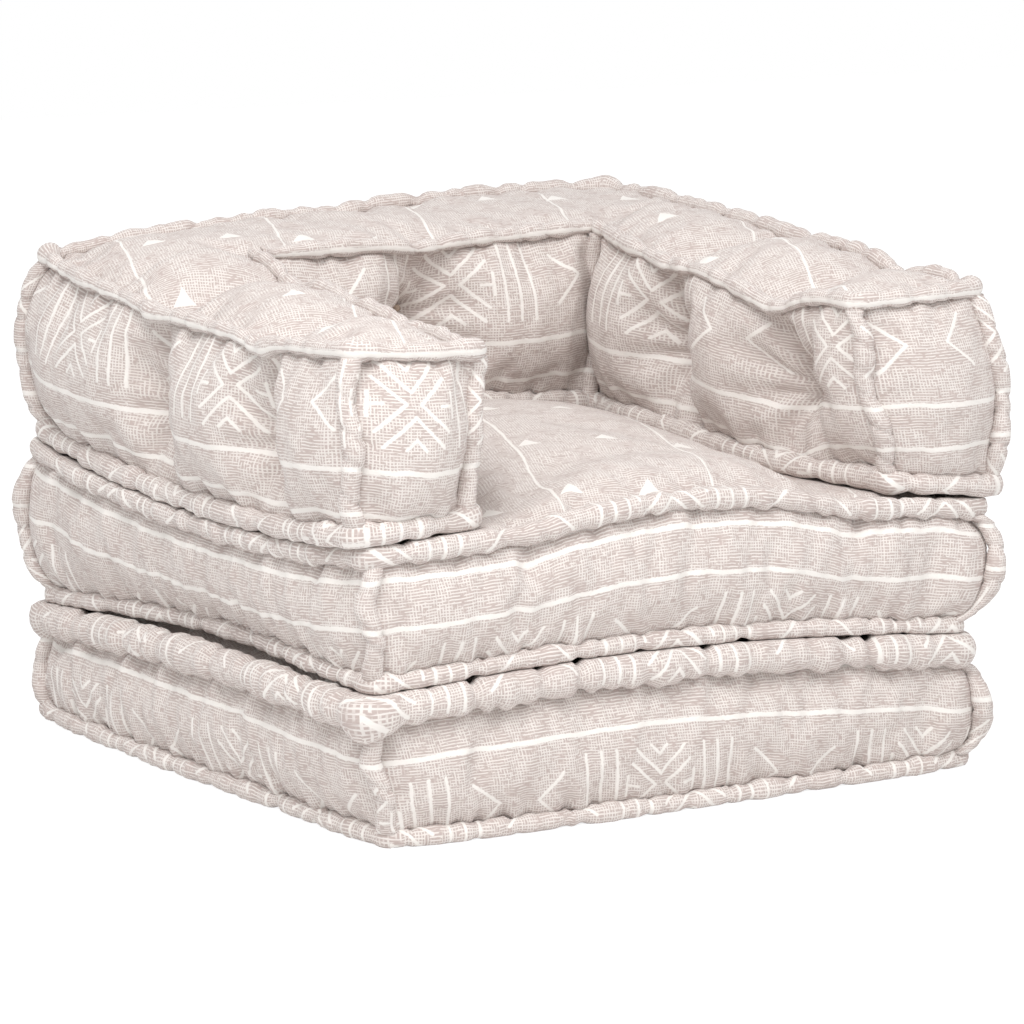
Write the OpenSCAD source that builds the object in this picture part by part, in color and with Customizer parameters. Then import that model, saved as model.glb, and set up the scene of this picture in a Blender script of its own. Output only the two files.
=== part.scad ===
// Modular pouf: three loose floor cushions that stack into a low armchair.
// A square base lies on the floor, a square seat lies on it, and a U-shaped module
// of two arms and a back lies on the seat. Every module is a cloth cover, made of a
// top panel, a bottom panel and one side band, round a loose filling. The seams are
// rolled: stuffed rolls run round both faces and down every corner. Twine ties pull
// the walls of the U-shaped module together and leave its tufts.
// The origin is on the floor, in the middle of the footprint. +Z is up, and the open
// front of the chair faces -Y. Lengths are in millimetres.

/* [Modules] */
// Width of every module, seam to seam
module_w = 750; // [660:10:900]
// Depth of every module, seam to seam
module_d = 750; // [680:10:900]
// Height of the base, over its rolled edges
base_h = 155; // [120:5:220]
// Height of the seat at its sides, over its rolled edges
seat_h = 138; // [110:2:200]
// Height of the arms at their front ends
arm_h = 230; // [180:5:300]
// Height of the back wall at the rear
back_h = 268; // [200:2:340]
// Width of an arm, seam to seam
arm_w = 160; // [130:5:200]
// Thickness of the back wall, seam to seam
back_t = 200; // [140:5:240]

/* [Cushion form] */
// How far the filling swells the middle of a plain wall
wall_bulge = 16; // [6:1:22]
// How far it swells a tufted wall between two ties
pillow_bulge = 30; // [12:1:34]
// Share of that swell which a tie takes away
tie_draw = 0.85; // [0.5:0.05:0.95]
// How far the seams are drawn in between two corners
seam_draw = 8; // [0:1:16]
// How far every outer corner is pulled in, which rounds it
corner_pull = 14; // [4:1:28]
// Rise of the arms and the back over their rolled edges, between two ties
arm_crown = 18; // [4:1:24]
// How far the top sinks over a tie, as a share of that rise
tie_sink = 1.6; // [1:0.1:2]
// Rise of the seat in the middle of the well between the arms
seat_swell = 75; // [10:1:80]
// Share of that rise which the open front has
front_swell = 0.75; // [0.4:0.05:1]

/* [Rolled edges] */
// Radius of the rolls round the base, the seat and the underside of the back
roll_r = 11; // [8:0.5:13]
// Radius of the roll round the top of the arms and the back
arm_roll_r = 8; // [6:0.5:11]
// Radius of the rolls down the corners
corner_roll_r = 12; // [8:0.5:13]
// How much thicker a roll is where it is knotted at a corner
knot_swell = 1.25; // [1:0.05:1.4]

/* [Tufts] */
// Front tuft of the left arm, behind its front seam. The ties are sewn by eye, so the
// two arms differ.
left_front_tuft = 185; // [120:5:200]
// Rear tuft of the left arm, behind its front seam
left_rear_tuft = 445; // [360:5:455]
// Front tuft of the right arm
right_front_tuft = 140; // [120:5:200]
// Rear tuft of the right arm
right_rear_tuft = 350; // [320:5:455]
// How deep a tie pulls the wall in
tuft_depth = 32; // [10:1:38]
// How far round a tie the wall is pulled in, and the seam above it down
tuft_reach = 80; // [60:5:100]
// How far a tie pulls the seam above it down
seam_dip = 12; // [0:1:18]
// Radius of the twine
twine_r = 1.5; // [1:0.25:2.5]
// Radius of the knot at each end of a tie
tie_knot_r = 6; // [4:0.5:9]
// Thickness of the knot at each end of a tie
tie_knot_t = 3; // [2:0.5:5]

/* [Cloth and clearances] */
// Thickness of the cover, cloth and wadding
cloth_t = 2.5; // [1.5:0.5:4]
// Gap between two modules, one lying on the other
rest_gap = 0.3; // [0.2:0.1:0.6]
// Gap between two pieces that are sewn together
sew_gap = 0.3; // [0.2:0.1:0.5]
// Gap round the twine in the filling and in the cloth
twine_gap = 0.5; // [0.3:0.1:0.9]
// Space between the knots of the arms and the swell of the seat
swell_gap = 3; // [2:1:10]

/* [Hidden] */

print_cloth = [0.86, 0.80, 0.77];
roll_cloth = [0.90, 0.85, 0.82];
filling_colour = [0.95, 0.93, 0.88];
twine_colour = [0.78, 0.72, 0.66];

up = [0, 0, 1];
diagonal = sqrt(0.5);

// Levels at which the modules meet
base_top = base_h;
seat_bottom = base_top + rest_gap;
seat_top = seat_bottom + seat_h;
back_bottom = seat_top + rest_gap;

// A roll is a six-sided tube that lies with one flat on the seam, at 45 degrees
roll_sides = 6;
roll_flat = cos(180 / roll_sides);
roll_turn = 15;

// Heights in a wall, as shares of it, at which the cover has its own points
wall_levels = [0.2, 0.5, 0.8];
tuft_level = 0.5;

// Where the seat is fullest, as a share of its half depth behind the middle
swell_middle = -0.35;

// Share of the half width in which a cushion rises from its seam to its full height,
// and the share of that rise at which another module or the floor flattens it
soft_edge = 0.3;
flat_share = 0.55;

// Half width and rear end of the well between the arms, as shares of the half sizes
well_side = (module_w / 2 - arm_w - roll_reach(roll_r * knot_swell) - swell_gap) / (module_w / 2);
well_rear = (module_d / 2 - back_t - roll_reach(roll_r * knot_swell) - swell_gap) / (module_d / 2);
rim_share = 0.88;

// General functions

function mix(a, b, t) = a + (b - a) * t;
function unit(v) = v / norm(v);
function total(v) = len(v) == 0 ? 0 : v * [for (x = v) 1];
function quad(a, b, c, d) = [[a, b, c], [a, c, d]];

// How far a roll of radius r stands over the seam that it is sewn on, and hangs behind it
function roll_rise(r) = (r * roll_flat + sew_gap) * diagonal;
function roll_reach(r) = r * sin(90 - roll_turn) + roll_rise(r);
function roll_hang(r) = r * sin(90 - roll_turn) - roll_rise(r);

// Soft rise of a cushion face, from 0 at the seam to 1
function edge_rise(e) = 1 - pow(1 - min(1, e / soft_edge), 2);
function pressed(fullness) = min(1, fullness / flat_share);

// Place in the plan of a point given as shares of the half width and half depth:
// the seams are drawn in along the sides, and the corners are pulled in
function plan(u, v) = [
    u * (module_w / 2 - seam_draw * (1 - v * v) - corner_pull * pow(v, 8)),
    v * (module_d / 2 - seam_draw * (1 - u * u) - corner_pull * pow(u, 8))
];

// Grids: rows of [u, v, fullness] over the face of a module. The first index runs
// along the face and the second across it, and fullness is 0 at the seam.

function square_cell(u, v) = [u, v, edge_rise(1 - abs(u)) * edge_rise(1 - abs(v))];

square_u = [-1, -rim_share, -well_side, -well_side / 2, 0, well_side / 2, well_side, rim_share, 1];
square_v = concat(
    [-1],
    [for (t = [0:0.25:1]) mix(-rim_share, well_rear, t)],
    [mix(well_rear, rim_share, 0.5), rim_share, 1]
);
square_grid = [for (u = square_u) [for (v = square_v) square_cell(u, v)]];
square_knots = [0, len(square_u) - 1];

// Stations along an arm, from its front seam to where it turns into the back
function arm_stations(front, rear, reach) = [
    0, mix(0, front, 1 / 2), front,
    mix(front, rear, 1 / 3), mix(front, rear, 2 / 3), rear,
    mix(rear, reach, 1 / 3), mix(rear, reach, 2 / 3), reach
];

// One line along the U, from the front of the left arm to the front of the right arm
function u_line(half_x, reach) = concat(
    [for (s = arm_stations(left_front_tuft, left_rear_tuft, reach))
        [-half_x, s - module_d / 2]],
    [for (t = [1:back_cells - 1]) [mix(-half_x, half_x, t / back_cells), reach - module_d / 2]],
    [for (s = reversed(arm_stations(right_front_tuft, right_rear_tuft, reach)))
        [half_x, s - module_d / 2]]
);

arm_cells = 8;
back_cells = 6;
u_shares = [0, 0.18, 0.5, 0.82, 1];
u_inner = u_line(module_w / 2 - arm_w, module_d - back_t);
u_outer = u_line(module_w / 2, module_d);

// The inner front corner of each arm is pulled in like an outer corner
arm_end_pull = 2 * corner_pull / module_d;
u_grid = [for (i = [0:len(u_inner) - 1]) [for (w = u_shares)
    let (
        p = mix(u_inner[i], u_outer[i], w),
        v = 2 * p.y / module_d,
        arm_end = i == 0 || i == len(u_inner) - 1
    )
    [
        2 * p.x / module_w,
        arm_end ? v + arm_end_pull * pow(1 - w, 4) : v,
        4 * w * (1 - w) * edge_rise(1 + v)
    ]
]];
u_knots = [0, arm_cells, arm_cells + back_cells, len(u_inner) - 1];

// Rims: the points of a grid along its edge, counter-clockwise as seen from above

function last_row(grid) = len(grid) - 1;
function last_column(grid) = len(grid[0]) - 1;
function on_rim(grid, i, j) =
    i == 0 || j == 0 || i == last_row(grid) || j == last_column(grid);

function rim(grid) = let (m = last_row(grid), n = last_column(grid)) concat(
    [for (i = [0:m - 1]) grid[i][0]],
    [for (j = [0:n - 1]) grid[m][j]],
    [for (i = [m:-1:1]) grid[i][n]],
    [for (j = [n:-1:1]) grid[0][j]]
);

function rim_index(grid, i, j) = let (m = last_row(grid), n = last_column(grid))
    j == 0 ? i : i == m ? m + j : j == n ? 2 * m + n - i : 2 * (m + n) - j;

// Outward direction at every rim point, lengthened at a corner so that an offset
// keeps its distance from both sides
function mitres(points) = let (count = len(points)) [for (k = [0:count - 1])
    let (
        before = unit(points[k] - points[(k + count - 1) % count]),
        after = unit(points[(k + 1) % count] - points[k]),
        a = unit([before.y, -before.x, 0]),
        b = unit([after.y, -after.x, 0])
    )
    (a + b) / (1 + a * b)
];

// Points of one face of a module. height(cell, reach) gives z, where reach is how far
// the roll stands over the seam there, and knots lists the rows that have a corner.
function face_points(grid, height, r, knots) = [for (i = [0:last_row(grid)])
    [for (j = [0:last_column(grid)])
        let (
            cell = grid[i][j],
            edge = j == 0 || j == last_column(grid),
            knotted = edge && len([for (k = knots) if (k == i) k]) > 0,
            place = plan(cell[0], cell[1])
        )
        [place.x, place.y, height(cell, roll_reach(knotted ? r * knot_swell : r))]
    ]
];

// The same face with its rim replaced and its inside moved
function redraw(grid, new_rim, shift) = [for (i = [0:last_row(grid)])
    [for (j = [0:last_column(grid)])
        on_rim(grid, i, j) ? new_rim[rim_index(grid, i, j)] : grid[i][j] + shift
    ]
];

// Tufts: where the ties pull, in the plan

arm_tuft_rows = [2, 5];
tuft_rows = concat(
    arm_tuft_rows,
    [arm_cells + back_cells / 2],
    [for (i = arm_tuft_rows) len(u_inner) - 1 - i]
);
tuft_places = [for (i = tuft_rows) for (w = [0, last_column(u_grid)])
    plan(u_grid[i][w][0], u_grid[i][w][1])
];

// Pull of the nearest ties on a point at a distance, from 0 to 1
function pull(distance, reach) = pow(1 - pow(min(1, distance / reach), 2), 2);
function gap_to_line(place, a, b) = let (
    along = b - a,
    share = max(0, min(1, (place - a) * along / (along * along)))
) norm(place - a - share * along);
function over_tie(place) = max([for (k = [0:2:len(tuft_places) - 1])
    pull(gap_to_line(place, tuft_places[k], tuft_places[k + 1]), tuft_reach)
]);
function dip(place) = seam_dip * total([
    for (t = tuft_places) pull(norm(place - t), tuft_reach)
]);
function dimple(p, level, height, tufts) = tuft_depth * total([
    for (t = tufts) pull(norm([p.x - t.x, p.y - t.y, (level - tuft_level) * height]), tuft_reach)
]);

// Faces of the three modules

function swell(u, v) = seat_swell * max(0, 1 - pow(u / well_side, 2)) * (v < swell_middle
    ? 1 - (1 - front_swell) * pow((swell_middle - v) / (1 + swell_middle), 2)
    : 1 - pow(min(1, (v - swell_middle) / (well_rear - swell_middle)), 2));
function arm_top(v) = back_bottom + mix(arm_h, back_h, pow((1 + v) / 2, 2));

base_bottom_face = face_points(square_grid,
    function (c, reach) reach * (1 - pressed(c[2])), roll_r, square_knots);
base_top_face = face_points(square_grid,
    function (c, reach) base_top - reach * (1 - pressed(c[2])), roll_r, square_knots);
seat_bottom_face = face_points(square_grid,
    function (c, reach) seat_bottom + reach * (1 - pressed(c[2])), roll_r, square_knots);
seat_top_face = face_points(square_grid,
    function (c, reach) seat_top - reach * (1 - pressed(c[2])) + swell(c[0], c[1]),
    roll_r, square_knots);
back_bottom_face = face_points(u_grid,
    function (c, reach) back_bottom + reach * (1 - pressed(c[2])), roll_r, u_knots);
back_top_face = face_points(u_grid,
    function (c, reach) arm_top(c[1]) - reach * (1 - c[2])
        + arm_crown * c[2] * (1 - tie_sink * over_tie(plan(c[0], c[1])))
        - dip(plan(c[0], c[1])) * (1 - c[2]),
    arm_roll_r, u_knots);

// Corners of a module, as places along its rim. A nook is a corner that faces inward.

square_corners = let (m = last_row(square_grid), n = last_column(square_grid))
    [0, m, m + n, 2 * m + n];
u_nooks = [arm_cells, arm_cells + back_cells];
u_corners = let (m = last_row(u_grid), n = last_column(u_grid))
    [0, m, m + n, m + n + arm_cells, m + n + arm_cells + back_cells, 2 * m + n];

// How far the walls swell at each point of their rims. A tufted wall swells most between
// two ties. It keeps the plain swell on the front of an arm, at a corner and beside a nook.

square_swells = [for (place = rim(square_grid)) wall_bulge];
function tied(p) = max([for (t = tuft_places) pull(norm([p.x - t.x, p.y - t.y]), tuft_reach)]);
function near(k, places, steps) = len([for (c = places) if (abs(k - c) <= steps) c]) > 0;
u_swells = let (
    m = last_row(u_grid),
    n = last_column(u_grid),
    seams = rim(back_top_face)
) [for (k = [0:len(seams) - 1])
    let (on_front = k >= m && k <= m + n || k >= 2 * m + n)
    on_front || near(k, u_corners, 0) || near(k, u_nooks, 1)
        ? wall_bulge
        : pillow_bulge * (1 - tie_draw * tied(seams[k]))
];

// Solids

// A solid through sections that each have the same, even, number of points. Every end
// is closed by strips from its first half to its second. Both halves are cut into
// triangles along the same diagonal, so that a thin wall keeps its thickness.
module loft(sections, closed) {
    count = len(sections);
    sides = len(sections[0]);
    half = sides / 2;
    last = (count - 1) * sides;
    wall = [for (i = [0:count - (closed ? 1 : 2)]) for (j = [0:sides - 1])
        let (here = i * sides, next = (i + 1) % count * sides, k = (j + 1) % sides)
        each j < half
            ? quad(here + j, here + k, next + k, next + j)
            : quad(here + k, next + k, next + j, here + j)];
    first_end = [for (j = [0:half - 2])
        each quad(sides - 1 - j, sides - 2 - j, j + 1, j)];
    last_end = [for (j = [0:half - 2])
        each quad(last + j, last + j + 1, last + sides - 2 - j, last + sides - 1 - j)];
    polyhedron(
        points = [for (s = sections) each s],
        faces = closed ? wall : concat(wall, first_end, last_end),
        convexity = 10
    );
}

// A solid between an upper and a lower face, with rings of points between their rims
module quilt(upper, lower, rings = []) {
    m = last_row(upper);
    n = last_column(upper);
    cells = (m + 1) * (n + 1);
    around = 2 * (m + n);
    rim_cells = rim([for (i = [0:m]) [for (j = [0:n]) i * (n + 1) + j]]);
    levels = concat(
        [[for (k = rim_cells) cells + k]],
        [for (r = [0:1:len(rings) - 1]) [for (k = [0:around - 1]) 2 * cells + r * around + k]],
        [rim_cells]
    );
    top_faces = [for (i = [0:m - 1]) for (j = [0:n - 1]) let (a = i * (n + 1) + j)
        each quad(a, a + 1, a + n + 2, a + n + 1)];
    bottom_faces = [for (i = [0:m - 1]) for (j = [0:n - 1]) let (a = cells + i * (n + 1) + j)
        each quad(a, a + n + 1, a + n + 2, a + 1)];
    wall = [for (r = [0:len(levels) - 2]) for (k = [0:around - 1]) let (next = (k + 1) % around)
        each quad(levels[r][k], levels[r + 1][k], levels[r + 1][next], levels[r][next])];
    polyhedron(
        points = concat([for (row = upper) each row], [for (row = lower) each row],
            [for (ring = rings) each ring]),
        faces = concat(top_faces, bottom_faces, wall),
        convexity = 10
    );
}

// Where a panel and the band meet: side is 1 at the top face and -1 at the bottom.
// The two edges lie half a sewing gap apart on each side of the seam.
function seam_edge(seam, out, side, to_band) =
    seam + (out - side * up) * (to_band ? 1 : -1) * sew_gap / 2 * diagonal;
function seam_inside(edge, out, side, depth) = edge - (out + side * up) * depth * diagonal;

// Points of a wall at its own levels, depth behind the outside of the cloth
function wall_points(low, high, out, bulge, tufts, depth, levels) = [for (h = levels)
    let (p = mix(low, high, h))
    p + out * (bulge * 4 * h * (1 - h) - dimple(p, h, high.z - low.z, tufts) - depth)
];
function reversed(list) = [for (i = [len(list) - 1:-1:0]) list[i]];

module panel(face, side) {
    seams = rim(face);
    out = mitres(seams);
    edges = [for (k = [0:len(seams) - 1]) seam_edge(seams[k], out[k], side, false)];
    insides = [for (k = [0:len(seams) - 1]) seam_inside(edges[k], out[k], side, cloth_t)];
    outer = redraw(face, edges, [0, 0, 0]);
    inner = redraw(face, insides, -side * cloth_t * up);
    if (side > 0) quilt(outer, inner);
    else quilt(inner, outer);
}

module side_band(top_face, bottom_face, swells, tufts = []) {
    tops = rim(top_face);
    bottoms = rim(bottom_face);
    out = mitres(tops);
    loft([for (k = [0:len(tops) - 1])
        let (
            top = seam_edge(tops[k], out[k], 1, true),
            bottom = seam_edge(bottoms[k], out[k], -1, true),
            outer = wall_points(bottoms[k], tops[k], out[k], swells[k], tufts, 0, wall_levels),
            inner = wall_points(bottoms[k], tops[k], out[k], swells[k], tufts, cloth_t, wall_levels)
        )
        concat(
            [bottom], outer, [top, seam_inside(top, out[k], 1, cloth_t)],
            reversed(inner), [seam_inside(bottom, out[k], -1, cloth_t)]
        )
    ], true);
}

// Roll along the seams of a face, thicker at the knots
module edge_roll(face, side, r, knots) {
    seams = rim(face);
    out = mitres(seams);
    loft([for (k = [0:len(seams) - 1])
        let (
            here = len([for (c = knots) if (c == k) c]) > 0 ? r * knot_swell : r,
            centre = seams[k] + (out[k] + side * up) * roll_rise(here),
            ring = [for (a = [roll_turn:360 / roll_sides:359])
                centre + out[k] * here * cos(a) + side * up * here * sin(a)]
        )
        side > 0 ? ring : reversed(ring)
    ], true);
}

// Roll down one corner, between the rolls of the two faces. In a nook it lies
// against both walls, and on an outer corner it lies on the corner's edge.
module corner_roll(low, high, out, low_r, high_r, nook) {
    low_end = low.z + roll_hang(low_r * knot_swell) + sew_gap;
    high_end = high.z - roll_hang(high_r * knot_swell) - sew_gap;
    levels = concat(
        [(low_end - low.z) / (high.z - low.z)], wall_levels, [(high_end - low.z) / (high.z - low.z)]
    );
    edge = wall_points(low, high, out, wall_bulge, [], 0, wall_levels);
    ends = [
        mix(low, edge[0], levels[0] / wall_levels[0]),
        mix(high, edge[len(edge) - 1], (1 - levels[len(levels) - 1]) / wall_levels[0])
    ];
    stand = nook
        ? out * (corner_roll_r + sew_gap)
        : unit(out) * (corner_roll_r * roll_flat + sew_gap);
    turn = atan2(out.y, out.x) + 180 / roll_sides;
    loft([for (p = reversed(concat([ends[0]], edge, [ends[1]])))
        [for (k = [0:roll_sides - 1])
            let (a = turn + k * 360 / roll_sides)
            p + stand + corner_roll_r * [cos(a), sin(a), 0]]
    ], false);
}

module corner_rolls(top_face, bottom_face, top_r, corners, nooks = []) {
    tops = rim(top_face);
    bottoms = rim(bottom_face);
    out = mitres(tops);
    for (k = corners) corner_roll(bottoms[k], tops[k], out[k], roll_r, top_r, false);
    for (k = nooks) corner_roll(bottoms[k], tops[k], out[k], roll_r, top_r, true);
}

// Loose filling: it reaches the cloth on both faces and at the given levels of each wall
module filling(top_face, bottom_face, swells, levels, tufts = []) {
    tops = rim(top_face);
    bottoms = rim(bottom_face);
    out = mitres(tops);
    depth = cloth_t + sew_gap;
    ks = [0:len(tops) - 1];
    quilt(
        redraw(top_face, [for (k = ks) seam_inside(tops[k], out[k], 1, depth)], -depth * up),
        redraw(bottom_face, [for (k = ks) seam_inside(bottoms[k], out[k], -1, depth)], depth * up),
        [for (h = levels) [for (k = ks)
            each wall_points(bottoms[k], tops[k], out[k], swells[k], tufts, depth, [h])]]
    );
}

// Ends of every tie: the bottoms of the two dimples that it joins
tie_ends = let (
    tops = rim(back_top_face),
    bottoms = rim(back_bottom_face),
    out = mitres(tops)
) [for (i = tuft_rows) [for (j = [0, last_column(u_grid)])
    let (k = rim_index(u_grid, i, j))
    wall_points(bottoms[k], tops[k], out[k], u_swells[k], tuft_places, 0, [tuft_level])[0]
]];

// The knot clears the sides of its dimple, which rise from the tie to the next points
// of the wall, along it and up it
next_level = (wall_levels[1] - wall_levels[0])
    * (arm_h - roll_reach(roll_r) - roll_reach(arm_roll_r) - seam_dip);
next_station = min(left_front_tuft, right_front_tuft) / 2;
knot_seat = sew_gap + tie_knot_r * norm([
    (tuft_depth + pillow_bulge * tie_draw) / min(next_station, tuft_reach),
    tuft_depth / min(next_level, tuft_reach)
]);

module rod(from, to, r1, r2, sides) {
    run = to - from;
    translate(from)
        rotate([0, acos(run.z / norm(run)), atan2(run.y, run.x)])
            cylinder(h = norm(run), r1 = r1, r2 = r2, $fn = sides);
}

module tie_holes() {
    for (ends = tie_ends) {
        along = unit(ends[1] - ends[0]) * tuft_depth;
        rod(ends[0] - along, ends[1] + along, twine_r + twine_gap, twine_r + twine_gap, 12);
    }
}

module tie(a, b) {
    along = unit(b - a);
    low = a - along * knot_seat;
    high = b + along * knot_seat;
    inside_knot = along * tie_knot_t / 2;
    rod(low - inside_knot, high + inside_knot, twine_r, twine_r, 12);
    rod(low, low - along * tie_knot_t, tie_knot_r, tie_knot_r - twine_r, 24);
    rod(high, high + along * tie_knot_t, tie_knot_r, tie_knot_r - twine_r, 24);
}

// Base

module base_top_panel() color(print_cloth) panel(base_top_face, 1);
module base_bottom_panel() color(print_cloth) panel(base_bottom_face, -1);
module base_side_band() color(print_cloth)
    side_band(base_top_face, base_bottom_face, square_swells);
module base_top_roll() color(roll_cloth) edge_roll(base_top_face, 1, roll_r, square_corners);
module base_bottom_roll()
    color(roll_cloth) edge_roll(base_bottom_face, -1, roll_r, square_corners);
module base_corner_rolls()
    color(roll_cloth) corner_rolls(base_top_face, base_bottom_face, roll_r, square_corners);
module base_filling() color(filling_colour)
    filling(base_top_face, base_bottom_face, square_swells, [tuft_level]);

// Seat

module seat_top_panel() color(print_cloth) panel(seat_top_face, 1);
module seat_bottom_panel() color(print_cloth) panel(seat_bottom_face, -1);
module seat_side_band() color(print_cloth)
    side_band(seat_top_face, seat_bottom_face, square_swells);
module seat_top_roll() color(roll_cloth) edge_roll(seat_top_face, 1, roll_r, square_corners);
module seat_bottom_roll()
    color(roll_cloth) edge_roll(seat_bottom_face, -1, roll_r, square_corners);
module seat_corner_rolls()
    color(roll_cloth) corner_rolls(seat_top_face, seat_bottom_face, roll_r, square_corners);
module seat_filling() color(filling_colour)
    filling(seat_top_face, seat_bottom_face, square_swells, [tuft_level]);

// Arms and back

u_all_corners = concat(u_corners, u_nooks);

module back_top_panel() color(print_cloth) panel(back_top_face, 1);
module back_bottom_panel() color(print_cloth) panel(back_bottom_face, -1);
module back_side_band() color(print_cloth) difference() {
    side_band(back_top_face, back_bottom_face, u_swells, tuft_places);
    tie_holes();
}
module back_top_roll() color(roll_cloth) edge_roll(back_top_face, 1, arm_roll_r, u_all_corners);
module back_bottom_roll()
    color(roll_cloth) edge_roll(back_bottom_face, -1, roll_r, u_all_corners);
module back_corner_rolls() color(roll_cloth)
    corner_rolls(back_top_face, back_bottom_face, arm_roll_r, u_corners, u_nooks);
module back_filling() color(filling_colour) difference() {
    filling(back_top_face, back_bottom_face, u_swells, wall_levels, tuft_places);
    tie_holes();
}
module back_tuft_ties() color(twine_colour) for (ends = tie_ends) tie(ends[0], ends[1]);

base_top_panel();
base_bottom_panel();
base_side_band();
base_top_roll();
base_bottom_roll();
base_corner_rolls();
base_filling();
seat_top_panel();
seat_bottom_panel();
seat_side_band();
seat_top_roll();
seat_bottom_roll();
seat_corner_rolls();
seat_filling();
back_top_panel();
back_bottom_panel();
back_side_band();
back_top_roll();
back_bottom_roll();
back_corner_rolls();
back_filling();
back_tuft_ties();
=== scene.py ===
# %% [markdown]
# # Dressing a modular pouf
# The real object is three loose floor cushions that stack into a low armchair: a square base, a
# square seat on it, and a U-shaped module of two arms and a back on top. Each one is a printed
# cotton cover round a loose filling, with stuffed rolled edges along every seam. It could be
# sculpted by hand, but rules keep it repeatable: each cover is drawn as a grid from a few sizes,
# puffed up by a short cloth simulation, and then pinched along its stitches.

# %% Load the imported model, which is the fixed frame
import math

import bpy
import numpy as np
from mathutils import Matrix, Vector, kdtree


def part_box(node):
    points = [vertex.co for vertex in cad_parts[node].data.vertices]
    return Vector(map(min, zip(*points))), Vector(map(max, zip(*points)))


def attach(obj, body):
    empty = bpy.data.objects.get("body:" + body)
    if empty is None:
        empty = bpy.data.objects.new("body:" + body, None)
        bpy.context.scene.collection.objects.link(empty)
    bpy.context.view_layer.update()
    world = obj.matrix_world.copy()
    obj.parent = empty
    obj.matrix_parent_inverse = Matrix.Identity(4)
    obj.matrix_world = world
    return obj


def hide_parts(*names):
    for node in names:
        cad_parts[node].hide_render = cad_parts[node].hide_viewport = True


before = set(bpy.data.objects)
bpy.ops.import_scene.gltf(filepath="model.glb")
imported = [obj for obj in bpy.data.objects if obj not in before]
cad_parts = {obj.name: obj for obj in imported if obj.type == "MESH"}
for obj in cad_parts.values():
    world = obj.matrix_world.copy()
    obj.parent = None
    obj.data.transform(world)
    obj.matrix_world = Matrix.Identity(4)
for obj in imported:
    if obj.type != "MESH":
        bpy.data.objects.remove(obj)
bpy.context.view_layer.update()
scene = bpy.context.scene
MM = 0.001

# %% [markdown]
# ## The camera
# The photograph's edges barely converge, so the camera stands five metres off, at the front left
# and a little above, with a lens of about 160 mm. A small shift keeps the object where it lies in
# the picture.

# %% Camera
AIM = Vector((0, 0, 0.27))
CAMERA_DISTANCE = 5.0
CAMERA_TURN = math.radians(-30.5)
CAMERA_RISE = math.radians(10.1)
back_to_camera = Vector((
    math.sin(CAMERA_TURN) * math.cos(CAMERA_RISE),
    -math.cos(CAMERA_TURN) * math.cos(CAMERA_RISE),
    math.sin(CAMERA_RISE),
))


def linked(name, data):
    made = bpy.data.objects.new(name, data)
    scene.collection.objects.link(made)
    return made


def aimed(name, data, place):
    """A camera or a lamp at a place, turned to the middle of the object."""
    made = linked(name, data)
    made.location = place
    made.rotation_mode = "QUATERNION"
    made.rotation_quaternion = (AIM - Vector(place)).to_track_quat("-Z", "Y")
    return made


camera = aimed("camera", bpy.data.cameras.new("camera"), AIM + back_to_camera * CAMERA_DISTANCE)
camera.data.lens = 159.9
camera.data.shift_x = 0.0137
camera.data.shift_y = -0.0127
camera.data.clip_end = 50
scene.camera = camera
print("camera at", tuple(round(c, 2) for c in camera.location))

# %% [markdown]
# ## Sizes
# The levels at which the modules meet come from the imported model, so that every cover lies on
# its neighbour. The seam lines repeat the model's driving sizes.

# %% Sizes of the modules
SEAM = 375 * MM           # from the middle of a module to its seams
ARM_W = 160 * MM          # width of an arm
BACK_T = 200 * MM         # thickness of the back
ARM_H = 230 * MM          # height of the arms at the front
BACK_H = 268 * MM         # height of the back at the rear
SEAM_DRAW = 8 * MM        # how far the seams are drawn in between two corners
CORNER_PULL = 14 * MM     # how far the corners are pulled in
SEAT_SWELL = 29 * MM      # rise of the seat between the arms, over the U's underside
FRONT_SHARE = 0.6         # share of that rise that the front seam follows
SEAT_DOME = 49 * MM       # how far the seat lifts the underside of the U in the middle
ROLL_R = 10.5 * MM
BASE_ROLL_R = 16.5 * MM   # the roll round the top of the base is the fattest
LOWER_ROLL_R = 8.5 * MM   # the rolls under the base and the seat are pressed thin
ARM_ROLL_R = 9 * MM
CORNER_ROLL_R = 11 * MM
ROLL_RISE = 0.62          # how far a roll's middle stands out from its seam and over it, in radii
REST_GAP = 0.4 * MM       # kept between two modules that touch

LEVEL_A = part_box("base_top_roll")[1].z
LEVEL_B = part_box("back_bottom_roll")[0].z
print("modules meet at", round(LEVEL_A, 4), "and", round(LEVEL_B, 4))


# %% Small helpers for shapes
def unit(v):
    return v / np.maximum(np.linalg.norm(v, axis=-1, keepdims=True), 1e-12)


def smooth(t):
    t = np.clip(t, 0, 1)
    return t * t * (3 - 2 * t)


def bell(gap, width):
    """Fades from 1 to 0 with the distance, as a press of a thumb does."""
    return np.exp(-(gap / width) ** 2)


def corner_mix(u, v, corners):
    """Value between four corner values, given as front left, front right, back right, back left."""
    fl, fr, br, bl = (np.asarray(c, float) * MM for c in corners)
    a, b = (1 + u) / 2, (1 + v) / 2
    if fl.ndim:
        a, b = a[..., None], b[..., None]
    return (fl * (1 - a) + fr * a) * (1 - b) + (bl * (1 - a) + br * a) * b


def tilt(u, v, corners, front=0, right=0, back=0, left=0):
    """Level change in metres from corner values and bows along the four sides, in millimetres."""
    sides = ((front, u, -v), (back, u, v), (left, v, -u), (right, v, u))
    bows = sum(bow * (1 - a * a) * ((1 + b) / 2) ** 2 for bow, a, b in sides)
    return corner_mix(u, v, corners) + bows * MM


print("a smooth step and a bell, halfway:", smooth(0.5), round(bell(0.5, 1.0), 2))

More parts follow.
